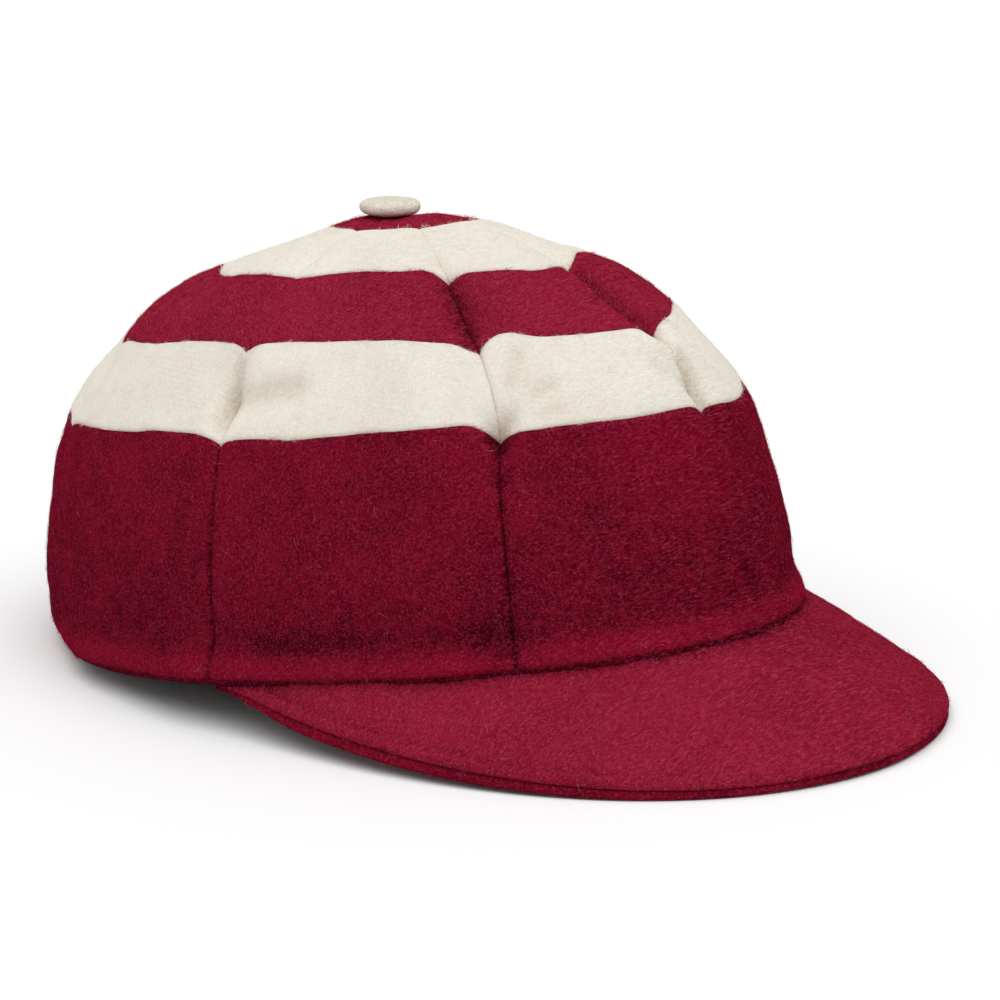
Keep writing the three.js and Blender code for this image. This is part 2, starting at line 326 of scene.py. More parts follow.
def waves(points, wavelength, seed, count=14):
    rng = np.random.default_rng(seed)
    total = np.zeros(points.shape[:-1])
    for _ in range(count):
        way = unit(rng.normal(size=3))
        pitch = 2 * math.pi / wavelength * rng.uniform(0.7, 1.4)
        total += np.sin(points @ way * pitch + rng.uniform(0, 2 * math.pi))
    return total / math.sqrt(count)


def fold_depth(points):
    depth = np.zeros(points.shape[:-1])
    for start, end, width, deep in folds.values():
        a = crown_base(np.array(float(start[0])), np.array(start[1]))
        b = crown_base(np.array(float(end[0])), np.array(end[1]))
        t = np.clip(((points - a) @ (b - a)) / ((b - a) @ (b - a)), 0, 1)
        away = np.linalg.norm(points - a - t[..., None] * (b - a), axis=-1) / width
        depth += deep * (np.exp(-away * away) - 0.25 * np.exp(-((away - 2) ** 2)))
    return depth


print(len(folds), "finer folds, up to", max(f[3] for f in folds.values()), "mm deep")

# %% [markdown]
# ## Where the hoops' edges run
# No two strips of a hand-sewn cap are cut quite alike, so a hoop's edge climbs in one gore and sinks
# in the next. Moving the sections would move the edge all the way round, so a table lifts the cloth
# along the crown near a few places instead.

# %% Lifts along the hoops' edges
#        angle, row, spread in degrees, in rows, lift in mm
lifts = [
    (3, 3, 9, 0.35, 1.7),
    (-18, 3, 13, 0.35, -1.6),
    (50, 3, 6, 0.3, 1.8),
    (80, 3, 11, 0.35, -1.9),
    (122, 3, 22, 0.4, -3.0),
    (-25, 4, 11, 0.35, 1.8),
    (39, 4, 5, 0.3, 2.4),
    (125, 4, 17, 0.4, -3.6),
    (-16, 5, 9, 0.3, 2.4),
    (17, 5, 12, 0.3, -2.3),
    (51, 5, 5, 0.25, 1.9),
    (115, 5, 18, 0.3, -2.8),
]


def edge_lift(angle, row):
    lift = 0.0
    for where, level, spread, rows, amount in lifts:
        turn = ((angle - where + 540) % 360 - 180) / spread
        rise = (row - level) / rows
        lift = lift + amount * np.exp(-turn * turn - rise * rise)
    return lift


print(len(lifts), "lifts, up to", max(abs(entry[4]) for entry in lifts), "mm")

# %% [markdown]
# ## The cloth's surface
# Seams, dents, folds and lifts meet in one function, which gives a point of the finished cloth at any
# depth below its outside. At the rim the cloth is rolled into the hem, which swells it over the last
# few millimetres, and the sewing draws in a soft hollow above the roll. Both are fullest on the
# wearer's right, where the cloth is slack.

# %% The cloth's surface
lump_height = 0.42
small_lump_height = 0.14
edge_wander = 0.12
roll_middle = 3.2
roll_width = 3.4
roll_swell = 1.7
hollow_middle = 12.0
hollow_width = 5.0
hollow_depth = 0.8


def hem_swell(angle, row):
    height = along("height", row) * crown_depth
    to_the_right = (angle + 180) % 360 - 180
    slack = smooth_step(to_the_right, -5, 40) * (1 - smooth_step(to_the_right, 140, 178))
    fullness = 0.4 + 0.6 * slack
    roll = roll_swell * np.exp(-(((height - roll_middle) / roll_width) ** 2))
    hollow = hollow_depth * np.exp(-(((height - hollow_middle) / hollow_width) ** 2))
    return fullness * (roll - hollow)


def cloth_point(angle, row, depth=0.0):
    _, up, out = crown_frame(angle, row)
    base = crown_base(angle, row)
    lumps = lump_height * waves(base, 34, 3) + small_lump_height * waves(base, 11, 4)
    uneven = edge_wander * waves(base, 14, 5)
    sink = crown_sink(angle, row) + fold_depth(base) - lumps - hem_swell(angle, row) + depth
    near = near_seam(angle, row)
    notch = 0.4 * near**3 + 0.6 * near**11
    drop = seam_drop * along("drop", row) * notch - edge_lift(angle, row) - uneven
    at_ends = smooth_step(row, 0, 0.8) * smooth_step(last_row - row, 0, 0.6)
    return base - out * np.asarray(sink)[..., None] - up * np.asarray(drop * at_ends)[..., None]


print("the roll swells", roll_swell, "mm, the hollow above it is", hollow_depth, "mm deep")

# %% [markdown]
# ## How the cap rests
# By itself the cap leans back: the peak's front edge and the back of the hem touch the surface, and
# the soft cloth is pressed flat there. The lean could be set by eye, but it follows from where those
# two feet are, so it is worked out from them. The peak's rule is needed for that and comes first: the
# peak reaches out from the rim, less and less towards its ends, and falls away more steeply there.

# %% The peak's rule and the lean
peak_reach = 37
peak_slope = 0.69
peak_side_slope = 0.21
peak_half_span = 89.5
peak_tuck = 2.4
peak_thickness = 1.5
under_proud = 0.5
peak_outline_power = 1.52
side_growth = 0.035
left_side_growth = 0.08
sewn_gap = 0.3
hem_pressed = 1.6
peak_pressed = 0.3


def peak_outline(angle):
    share = np.abs(angle) / peak_half_span
    growth = np.where(angle > 0, side_growth, left_side_growth) * smooth_step(np.abs(angle), 4, 40)
    return peak_reach * np.maximum(1 - share * share, 0) ** peak_outline_power * (1 + growth)


def peak_point(angle, share, proud, depth):
    turn = np.radians(angle)
    outward = np.stack([-np.sin(turn), -np.cos(turn), 0 * turn], axis=-1)
    reach_out = -peak_tuck + (peak_outline(angle) + proud + peak_tuck) * share
    steep = peak_slope + peak_side_slope * (angle / peak_half_span) ** 2
    point = crown_base(angle, np.zeros_like(turn)) + outward * reach_out[..., None]
    point[..., 2] = -sewn_gap - steep * np.maximum(reach_out, 0) - depth * np.hypot(1, steep)
    return point


back_foot = crown_base(np.array(180.0), np.array(0.0))
front_foot = peak_point(np.array(0.0), np.array(1.0), under_proud, 2 * peak_thickness + sewn_gap)
foot_rise = back_foot[2] - front_foot[2]
foot_span = back_foot[1] - front_foot[1]
feet_apart = math.hypot(foot_rise, foot_span)
lean = math.atan2(foot_rise, foot_span) + math.asin((hem_pressed - peak_pressed) / feet_apart)
rest_height = back_foot[1] * math.sin(lean) - back_foot[2] * math.cos(lean) - hem_pressed
front_edge = front_foot[1] * math.cos(lean) + front_foot[2] * math.sin(lean)
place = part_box("peak_under")[0].y / MM - front_edge


def rested(points):
    y = points[..., 1] * math.cos(lean) + points[..., 2] * math.sin(lean) + place
    z = points[..., 2] * math.cos(lean) - points[..., 1] * math.sin(lean) + rest_height
    return np.stack([points[..., 0], y, np.maximum(z, 0)], axis=-1) * MM


print("lean", round(math.degrees(lean), 2), "degrees, moved", round(place, 2), "mm along Y")

# %% [markdown]
# ## Wool
# Felted wool is matt. Up close its colour is never even: deep and pale fibres lie every way, and
# clouds of wear lie over them. One flat colour would look like plastic, and a picture of felt would
# stretch over the curved strips, so noise is used. These small helpers each add a node, set it and
# wire it, which keeps the trees below short. A noise that is stretched along one direction gives
# fibres.

# %% Helpers for node trees
strand_scale = (420, 1900, 1900)


def add_noise(tree, scale, detail, distortion):
    place_node = tree.nodes.new("ShaderNodeTexCoord")
    node = tree.nodes.new("ShaderNodeTexNoise")
    node.inputs["Scale"].default_value = scale
    node.inputs["Detail"].default_value = detail
    node.inputs["Roughness"].default_value = 0.6
    node.inputs["Distortion"].default_value = distortion
    tree.links.new(place_node.outputs["Object"], node.inputs["Vector"])
    return node.outputs["Fac"]


def add_strands(tree, turn):
    place_node = tree.nodes.new("ShaderNodeTexCoord")
    mapping = tree.nodes.new("ShaderNodeMapping")
    mapping.inputs["Rotation"].default_value = turn
    mapping.inputs["Scale"].default_value = strand_scale
    node = tree.nodes.new("ShaderNodeTexNoise")
    node.inputs["Scale"].default_value = 1
    node.inputs["Detail"].default_value = 2
    node.inputs["Distortion"].default_value = 0.8
    tree.links.new(place_node.outputs["Object"], mapping.inputs["Vector"])
    tree.links.new(mapping.outputs["Vector"], node.inputs["Vector"])
    return node.outputs["Fac"]


def add_range(tree, source, low, high, to_low, to_high):
    node = tree.nodes.new("ShaderNodeMapRange")
    limits = {"From Min": low, "From Max": high, "To Min": to_low, "To Max": to_high}
    for name, value in limits.items():
        node.inputs[name].default_value = value
    tree.links.new(source, node.inputs["Value"])
    return node.outputs["Result"]


def add_math(tree, operation, *values):
    node = tree.nodes.new("ShaderNodeMath")
    node.operation = operation
    for socket, value in zip(node.inputs, values):
        if isinstance(value, (int, float)):
            socket.default_value = value
        else:
            tree.links.new(value, socket)
    return node.outputs[0]


def add_mix(tree, factor, first, second):
    node = tree.nodes.new("ShaderNodeMix")
    node.data_type = "RGBA"
    colour_sockets = (node.inputs[0], node.inputs[6], node.inputs[7])
    for socket, source in zip(colour_sockets, (factor, first, second)):
        tree.links.new(source, socket)
    return node.outputs[2]


print("five helpers for node trees")

# %% [markdown]
# ## Felt
# Seams and hoop edges hold some dirt, and creases, seams and edges are also darkened with painted
# shade. So each piece of cloth carries a value for dirt and painted shade, which is high there. One
# node group mixes that with the clouds, the fibres and the faint ribs of the cream cloth. All the wools
# share the group and differ only in what they feed it, so a change to the felt changes them all.

# %% Node group for felt
strand_turns = [(0.3, 0.5, 0.9), (0.2, -0.8, -0.5), (0.9, 1.2, 0.2)]
felt_amounts = ("Fleck amount", "Cloud amount", "Hair amount", "Rib amount")
felt = bpy.data.node_groups.new("felted wool", "ShaderNodeTree")
for socket_name in ("Deep", "Wool", "Pale"):
    felt.interface.new_socket(socket_name, in_out="INPUT", socket_type="NodeSocketColor")
for socket_name in ("Dirt and shade", *felt_amounts):
    felt.interface.new_socket(socket_name, in_out="INPUT", socket_type="NodeSocketFloat")
felt.interface.new_socket("Colour", in_out="OUTPUT", socket_type="NodeSocketColor")
for socket_name in ("Roughness", "Height"):
    felt.interface.new_socket(socket_name, in_out="OUTPUT", socket_type="NodeSocketFloat")
inlet = felt.nodes.new("NodeGroupInput").outputs
outlet = felt.nodes.new("NodeGroupOutput").inputs

clouds = add_range(felt, add_noise(felt, 38, 3, 0.5), 0.4, 0.62, 0, 1)
soft = add_range(felt, add_noise(felt, 240, 2, 0.6), 0.36, 0.64, 0, 1)
strands = [add_strands(felt, turn) for turn in strand_turns]
brightest = add_math(felt, "MAXIMUM", add_math(felt, "MAXIMUM", strands[0], strands[1]), strands[2])
darkest = add_math(felt, "MINIMUM", add_math(felt, "MINIMUM", strands[0], strands[1]), strands[2])
hairs = add_range(felt, brightest, 0.56, 0.72, 0, 1)
hollows = add_range(felt, darkest, 0.46, 0.3, 0, 1)
dark = add_math(felt, "MULTIPLY", hollows, inlet["Fleck amount"])
dark = add_math(felt, "MULTIPLY_ADD", clouds, inlet["Cloud amount"], dark)
# Dirt and painted shade from the mesh pull the wool towards the deep colour.
dark = add_math(felt, "MULTIPLY_ADD", inlet["Dirt and shade"], add_range(felt, soft, 0, 1, 0.75, 1.15), dark)
ribs = felt.nodes.new("ShaderNodeTexWave")
ribs.bands_direction = "Z"
ribs.inputs["Scale"].default_value = 270
ribs.inputs["Distortion"].default_value = 2.5
ribs.inputs["Detail Scale"].default_value = 1.5
felt.links.new(felt.nodes.new("ShaderNodeTexCoord").outputs["Object"], ribs.inputs["Vector"])
ribbed = add_math(felt, "MULTIPLY", ribs.outputs["Fac"], clouds)
dark = add_math(felt, "MULTIPLY_ADD", ribbed, inlet["Rib amount"], dark)
dark = add_range(felt, dark, 0, 1, 0, 1)
shade = add_mix(felt, dark, inlet["Wool"], inlet["Deep"])
shade = add_mix(felt, add_math(felt, "MULTIPLY", hairs, inlet["Hair amount"]), shade, inlet["Pale"])
felt.links.new(shade, outlet["Colour"])
felt.links.new(add_range(felt, hollows, 0, 1, 0.86, 0.97), outlet["Roughness"])
felt.links.new(add_math(felt, "SUBTRACT", hairs, hollows), outlet["Height"])
print("felt group has", len(felt.nodes), "nodes")

# %% [markdown]
# ## Four wools
# The hoops and the peak are a clear maroon. The band, the hem and the peak's underside take a darker
# copy of it, which is painted shade for the weaker light that reaches them. The cream of the hoops is a
# little whiter than the button's. Felt throws back hardly any gloss, and even a little of it turns the
# maroon pink under a wide white light, so the specular level is nought on the shader itself.

# %% Wool materials
#              deep colour, wool, pale hairs
wool_colours = {
    "maroon wool": ((0.14, 0.003, 0.017), (0.34, 0.0115, 0.039), (0.54, 0.075, 0.12)),
    # The band wool is a darker copy of the maroon wool: painted shade for the upright band, the hem and the
    # peak's underside.
    "shaded band wool": ((0.055, 0.0008, 0.007), (0.275, 0.0045, 0.027), (0.46, 0.05, 0.09)),
    "cream wool": ((0.50, 0.40, 0.30), (0.845, 0.80, 0.70), (0.92, 0.90, 0.84)),
    "button wool": ((0.42, 0.32, 0.23), (0.87, 0.81, 0.69), (0.92, 0.88, 0.80)),
}
#              amounts of fleck, cloud, hair and rib, relief in mm
wool_textures = {
    "maroon wool": (0.45, 0.22, 0.45, 0, 0.3),
    "shaded band wool": (0.38, 0.26, 0.45, 0, 0.3),
    "cream wool": (0.16, 0.08, 0.3, 0.07, 0.1),
    "button wool": (0.3, 0.1, 0.3, 0, 0.2),
}


def wool_material(name):
    *amounts, relief = wool_textures[name]
    material = bpy.data.materials.new(name)
    material.use_nodes = True
    tree = material.node_tree
    shader = tree.nodes["Principled BSDF"]
    group = tree.nodes.new("ShaderNodeGroup")
    group.node_tree = felt
    for socket_name, colour in zip(("Deep", "Wool", "Pale"), wool_colours[name]):
        group.inputs[socket_name].default_value = (*colour, 1)
    for socket_name, amount in zip(felt_amounts, amounts):
        group.inputs[socket_name].default_value = amount
    dirt_and_shade_node = tree.nodes.new("ShaderNodeAttribute")
    dirt_and_shade_node.attribute_name = "dirt_and_shade"
    tree.links.new(dirt_and_shade_node.outputs["Fac"], group.inputs["Dirt and shade"])
    bump = tree.nodes.new("ShaderNodeBump")
    bump.inputs["Strength"].default_value = 0.8
    bump.inputs["Distance"].default_value = relief * MM
    tree.links.new(group.outputs["Height"], bump.inputs["Height"])
    tree.links.new(group.outputs["Colour"], shader.inputs["Base Color"])
    tree.links.new(group.outputs["Roughness"], shader.inputs["Roughness"])
    tree.links.new(bump.outputs["Normal"], shader.inputs["Normal"])
    shader.inputs["Specular IOR Level"].default_value = 0.0
    return material


maroon_wool, shaded_band_wool, cream_wool, button_wool = [wool_material(name) for name in wool_colours]
print("materials:", ", ".join(wool_colours))

# %% [markdown]
# ## The strips of the crown
# Every strip is a closed sheet of cloth between two seams and two hoop edges, with its own outside,
# inside and cut edges. One crown with painted stripes would be quicker, but its seams would be flat.
# The points are worked out in rows and columns, fine near the strip's edges, where the cloth turns
# in, and coarser in the middle.

# %% Grids of cloth
edge_lines = [0, 0.25, 0.6, 1.1, 1.8]


def spread_out(length, step):
    inside = length - 2 * edge_lines[-1]
    count = max(2, round(inside / step))
    middle = [edge_lines[-1] + inside * k / count for k in range(1, count)]
    marks = np.array(edge_lines + middle + [length - f for f in reversed(edge_lines)])
    return marks / length, np.minimum(marks, length - marks)


def drawn_in(distance, width):
    return np.clip(1 - distance / width, 0, 1) ** 2


def sheet_faces(columns, rows):
    side = (columns + 1) * (rows + 1)
    i, j = np.meshgrid(np.arange(columns), np.arange(rows), indexing="ij")
    a = (j * (columns + 1) + i).ravel()
    above = columns + 1
    outer = np.stack([a, a + above, a + above + 1, a + 1], 1)
    inner = np.stack([a, a + 1, a + above + 1, a + above], 1) + side
    low = np.arange(columns)
    high = rows * above + low
    start = np.arange(rows) * above
    end = start + columns
    walls = [
        np.stack([low, low + 1, low + 1 + side, low + side], 1),
        np.stack([high + 1, high, high + side, high + 1 + side], 1),
        np.stack([start + above, start, start + side, start + above + side], 1),
        np.stack([end, end + above, end + above + side, end + side], 1),
    ]
    return np.concatenate([outer, inner] + walls)


def make_piece(name, points, faces, dirt_and_shade, material, slot, replaced):
    mesh = bpy.data.meshes.new(name)
    mesh.from_pydata(points.reshape(-1, 3).tolist(), [], [list(face) for face in faces])
    mesh.polygons.foreach_set("use_smooth", [True] * len(mesh.polygons))
    mesh.materials.append(material)
    mesh.attributes.new("dirt_and_shade", "FLOAT", "POINT").data.foreach_set("value", np.ravel(dirt_and_shade))
    piece = bpy.data.objects.new(name, mesh)
    bpy.context.scene.collection.objects.link(piece)
    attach(piece, "root")
    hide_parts(replaced)
    return piece


print("a 60 mm edge gets", len(spread_out(60, 1.3)[0]), "grid lines")

# %% [markdown]
# ## Cut and sew
# The real strips are sewn face to face and pressed open. So each edge is drawn in, and a seam shows
# as a soft valley, shallow in the thick cream wool and sharper in the maroon. Neighbours overlap by a
# hair, so that no light shines through a seam. The table says how deep the seams of each hoop are, how
# much dirt and painted shade darken their seams and edges, and how much painted shade darkens the band
# towards the hem.

# %% Cut a strip
seam_overlap = 0.08
band_start = 0.14
grid_step = 1.35
stitch_reach = 0.45
back_follows = 0.3
#                 seam depth and width, edge depth and width in mm, dirt and painted shade at seams and edges,
#                 painted shade down the band
sewing = {
    "band": (0.8, 1.9, 0.5, 1.4, 0.5, 0.36),
    "low_cream": (0.5, 1.8, 0.6, 1.3, 0.34, 0.0),
    "mid_maroon": (0.6, 1.8, 0.5, 1.4, 0.3, 0.0),
    "high_cream": (0.3, 1.8, 0.5, 1.3, 0.2, 0.0),
    "tip_maroon": (0.5, 1.8, 0.5, 1.4, 0.3, 0.0),
}


def cut_strip(angles, from_row, to_row):
    across = crown_base(np.linspace(*angles, 60), np.full(60, (from_row + to_row) / 2))
    upward = crown_base(np.full(40, angles[0]), np.linspace(from_row, to_row, 40))
    width = np.linalg.norm(np.diff(across, axis=0), axis=1).sum()
    height = np.linalg.norm(np.diff(upward, axis=0), axis=1).sum()
    u, from_side = spread_out(width, grid_step)
    v, from_end = spread_out(height, grid_step)
    if to_row == last_row:
        from_end = v * height
    return u, v, from_side, from_end


# Seams and hoop edges get some dirt and painted shade, and creases get painted shade.
def paint_dirt_and_shade(angle, row, side, end, seam_dirt_and_shade, band_shade):
    base = crown_base(angle, row)
    crease_shade = np.clip(fold_depth(base) / 1.6, 0, 1)
    patchy = 0.75 + 0.35 * waves(base, 18, 6)
    at_seam = seam_strength(angle, row) * np.exp(-side / 0.6)
    dirt_and_shade = seam_dirt_and_shade * patchy * (at_seam + 0.7 * np.exp(-end / 0.8)) + 0.75 * crease_shade
    # Painted shade: the band grows darker towards the hem, but the roll is left out.
    shade_down_the_band = 0.6 + 0.8 * smooth_step(row_of["band_top"] - row, 0.3, 2.4)
    dirt_and_shade += band_shade * shade_down_the_band * smooth_step(row, 0.5, 0.95)
    return np.clip(dirt_and_shade, 0, 1)


print("a front strip is", len(cut_strip((0, gore_angle), 3, 4)[0]), "points wide")

# %% [markdown]
# ## Ground for the nap
# Fibres are raised later on the outside of the cloth alone, and a thicker fringe of them along the
# hoops' edges. So each strip is noted here while it is sewn: its open cloth under its hoop's name,
# and its edges under its colour. The rows at the hem and at the button are left out of the fringe,
# because no other colour meets them.

# %% Sew the strips
naps = {}


def keep_ground(nap, slot, points, faces, from_side, grid, at_hem, at_eyelet):
    columns, rows = grid
    outside = points[: len(points) // 2]
    outer_faces = faces[: columns * rows]
    open_cloth = np.tile(np.minimum(from_side[:-1], from_side[1:]) > 0.2, rows)
    open_cloth = open_cloth.reshape(rows, columns).T.ravel()
    naps.setdefault(nap, []).append((outside, outer_faces[open_cloth]))
    row_numbers = np.arange(rows)
    at_edge = (row_numbers < 2) & (not at_hem) | (row_numbers >= rows - 2) & (not at_eyelet)
    naps.setdefault(slot + "_edges", []).append((outside, outer_faces[np.tile(at_edge, columns)]))


def sew_strip(node, gores, from_row, to_row, material, slot, nap):
    first_gore, gore_total = gores
    seam_depth, seam_width, edge_depth, edge_width, seam_dirt_and_shade, band_shade = sewing[nap]
    angles = (first_gore * gore_angle, (first_gore + gore_total) * gore_angle)
    u, v, from_side, from_end = cut_strip(angles, from_row, to_row)
    angle, row = np.meshgrid(angles[0] + (angles[1] - angles[0]) * u, from_row + (to_row - from_row) * v)
    side, end = np.meshgrid(from_side, from_end)
    across_seam = seam_depth * seam_strength(angle, row)
    turned_in = across_seam * (drawn_in(side, seam_width) + drawn_in(side, stitch_reach))
    turned_in = turned_in + edge_depth * drawn_in(end, edge_width)
    around, up, _ = crown_frame(angle, row)
    nudge_round = np.where(u < 0.5, -1, 1) * np.where(from_side == 0, seam_overlap, 0)
    nudge_up = np.where(v < 0.5, -1, 1) * np.where(from_end == 0, seam_overlap, 0)
    nudge = around * nudge_round[None, :, None] + up * nudge_up[:, None, None]
    face = cloth_point(angle, row, turned_in) + nudge
    back = cloth_point(angle, row, cloth_thickness - back_follows * turned_in) + nudge
    dirt_and_shade = paint_dirt_and_shade(angle, row, side, end, seam_dirt_and_shade, band_shade)
    points = np.concatenate([rested(face).reshape(-1, 3), rested(back).reshape(-1, 3)])
    grid = (len(u) - 1, len(v) - 1)
    faces = sheet_faces(*grid)
    make_piece("cloth_" + node, points, faces, np.concatenate([dirt_and_shade, dirt_and_shade]), material, slot, node)
    keep_ground(nap, slot, points, faces, from_side, grid, from_row == band_start, to_row == last_row)
    return len(points)


band = (band_start, row_of["band_top"], shaded_band_wool, "maroon_wool", "band")
total = sew_strip("band_front", (-1, 2), *band)
for gore in range(1, gore_count - 1):
    total += sew_strip(f"band_gore_{gore + 1}", (gore, 1), *band)
print("band sewn,", total, "points")

# %% [markdown]
# ## The hoops
# Above the band every gore has its own strip of each hoop, so the four hoops differ only in their
# rows and their wool. A short table and one loop sew them all.

# %% Sew the hoops
hoops = {
    "low_cream": ("band_top", "low_cream_top", cream_wool, "cream_wool"),
    "mid_maroon": ("low_cream_top", "mid_maroon_top", maroon_wool, "maroon_wool"),
    "high_cream": ("mid_maroon_top", "high_cream_top", cream_wool, "cream_wool"),
    "tip_maroon": ("high_cream_top", "eyelet", maroon_wool, "maroon_wool"),
}
for hoop, (from_name, to_name, material, slot) in hoops.items():
    cut = (row_of[from_name], row_of[to_name], material, slot, hoop)
    total = sum(sew_strip(f"{hoop}_gore_{gore + 1}", (gore, 1), *cut) for gore in range(gore_count))
    print(hoop, "hoop sewn,", total, "points")

# %% [markdown]
# ## The hem
# At the rim the band's cloth is rolled under and sewn down inside. Outside it shows only as the soft
# roll that the band's cloth is drawn over, and as the cap's lower edge. A round curve with a
# thickness would stand out like a cord, so it is a ring whose section is a closed loop, which follows
# the cloth outside and is pressed flat at the back where the cap rests on it.

# %% Roll the hem
hem_columns = 420
hem_section = 18
hem_behind = 0.35


def find_row(height):
    low, high = 0.0, float(row_of["belly"])
    for _ in range(40):
        middle = (low + high) / 2
        low, high = (middle, high) if along("height", middle) * crown_depth < height else (low, middle)
    return low


def roll_hem():
    angle = np.linspace(0, 360, hem_columns, endpoint=False)
    hem_row = find_row(hem_height)
    points = np.zeros((hem_section, hem_columns, 3))
    for k in range(hem_section):
        turn = 2 * math.pi * k / hem_section
        row = np.full(hem_columns, hem_row * (0.5 - 0.5 * math.cos(turn)))
        _, _, out = crown_frame(angle, row)
        round_share = abs(math.sin(turn)) ** 0.5
        if math.sin(turn) < -1e-9:
            points[k] = crown_base(angle, row) - out * hem_thickness * round_share
        else:
            outside = cloth_point(angle, row, hem_behind)
            points[k] = outside * round_share + crown_base(angle, row) * (1 - round_share)
    i, k = np.meshgrid(np.arange(hem_columns), np.arange(hem_section), indexing="ij")
    after_i, after_k = (i + 1) % hem_columns, (k + 1) % hem_section
    corners = [(i, k), (i, after_k), (after_i, after_k), (after_i, k)]
    faces = np.stack([(b * hem_columns + a).ravel() for a, b in corners], 1)
    return rested(points), faces


hem_points, hem_faces = roll_hem()
# The hem is darkened all round with painted shade, for the dark line under the roll.
hem_shade = np.full(hem_section * hem_columns, 0.8)
hem = make_piece("rolled_hem", hem_points, hem_faces, hem_shade, shaded_band_wool, "maroon_wool", "hem")
print("hem", round(hem.dimensions.x * 1000, 1), "mm wide outside")

# %% [markdown]
# ## The peak
# Two layers of cloth meet round the edge. A row of sewing runs a little inside the edge of the upper
# layer and draws it down, which leaves a rounded welt outside it. The under layer stands slightly
# proud below. One thick slab would have no welt and no line between the layers, so each layer is its
# own sheet. Both thin out towards the ends, where the peak merges into the hem.

# %% Sew the peak
peak_columns = 230
groove_from_edge = 2.5
groove_depth = 0.45
peak_fullness = 0.9
seam_lift = 0.6
edge_rounding = 0.72
from_peak_edge = np.array([0, 0.25, 0.6, 1.0, 1.5, 2.1, 2.6, 3.2, 4.0, 5.2, 6.8])


def rounded(distance, radius):
    inside = np.clip(radius - distance, 0, radius)
    return radius - np.sqrt(radius * radius - inside * inside)


def peak_grid(angle_line, reach_total):
    inside = np.linspace(0, 1, 26)[:-1]
    rows = len(inside) + len(from_peak_edge) - 1
    share = np.zeros((rows + 1, peak_columns + 1))
    for column, length in enumerate(reach_total):
        fine = np.minimum(from_peak_edge / length, 0.9 * from_peak_edge / from_peak_edge[-1])
        share[:, column] = np.concatenate([inside * (1 - fine[-1]), 1 - fine[::-1]])
    return np.tile(angle_line, (rows + 1, 1)), share


def peak_layer(name, node, top, proud, is_upper, material):
    angle_line = np.linspace(peak_half_span, -peak_half_span, peak_columns + 1)
    on_right = smooth_step(angle_line, 15, 55)
    proud = proud * (1.6 * on_right - 0.6)
    reach_total = peak_outline(angle_line) + proud + peak_tuck
    angle, share = peak_grid(angle_line, reach_total)
    to_edge = (1 - share) * reach_total
    ends = smooth_step(peak_half_span - np.abs(angle), 0, 16)
    thin = 0.12 + 0.88 * ends
    across = np.clip((to_edge - 3) / np.maximum(reach_total - 3, 1), 0, 1)
    base = peak_point(angle, share, proud, 0 * angle)
    groove = np.exp(-(((to_edge - groove_from_edge) / 0.7) ** 2))
    outside_rim = share * reach_total - peak_tuck
    depth = rounded(to_edge, edge_rounding)
    if is_upper:
        lumps = 0.24 * waves(base, 30, 21) + 0.09 * waves(base, 9, 22)
        groove = groove * (0.15 + 0.85 * on_right)
        depth = depth - seam_lift * (1 - smooth_step(outside_rim, -0.4, 1.6))
        fullness = peak_fullness * np.sin(across * math.pi) ** 0.8
        depth = depth + (groove_depth * groove - fullness - lumps) * ends
    face = peak_point(angle, share, proud, (top + depth) * thin)
    back_depth = top + peak_thickness - rounded(to_edge, edge_rounding)
    back = peak_point(angle, share, proud, back_depth * thin)
    # Painted shade on the peak: darker in the groove, along the outer edge, most of all where the peak meets
    # the hem, and a little darker on the wearer's left.
    dirt_and_shade = 0.25 * groove + 0.2 * np.exp(-to_edge / 0.8) + 0.7 * np.exp(-outside_rim / 1.2)
    dirt_and_shade = np.clip(dirt_and_shade + 0.12 * smooth_step(-angle, -40, 60), 0, 1)
    points = np.concatenate([rested(face).reshape(-1, 3), rested(back).reshape(-1, 3)])
    rows = len(share) - 1
    faces = sheet_faces(peak_columns, rows)
    piece = make_piece(name, points, faces, np.concatenate([dirt_and_shade, dirt_and_shade]), material, "maroon_wool", node)
    skin = peak_columns * rows
    naps[node] = [(points, faces[:skin] if is_upper else faces[skin : 2 * skin])]
    return piece


upper = peak_layer("sewn_peak_top", "peak_top", 0.0, 0.0, True, maroon_wool)
# The under layer takes the darker band wool as painted shade under the peak.
peak_layer("sewn_peak_under", "peak_under", peak_thickness + sewn_gap, under_proud, False, shaded_band_wool)
peak_width, peak_depth, _ = upper.dimensions
print("peak", round(peak_width * 1000, 1), "mm across,", round(peak_depth * 1000, 1), "mm deep")

# %% [markdown]
# ## The button
# A small mould covered with cream wool sits over the point where the gores meet. Its cover is drawn
# round a flat disc, so the edge is full and the top nearly flat, which a squashed ball wouldn't give.
# Its lower edge is darkened with painted shade. It is held by soft cloth, so it has settled level
# although the crown below it leans.

# %% Cover the button
button_radius = 8.0
button_height = 4.2
button_above_eyelet = 2.5
button_sides = 72
button_rings = 24


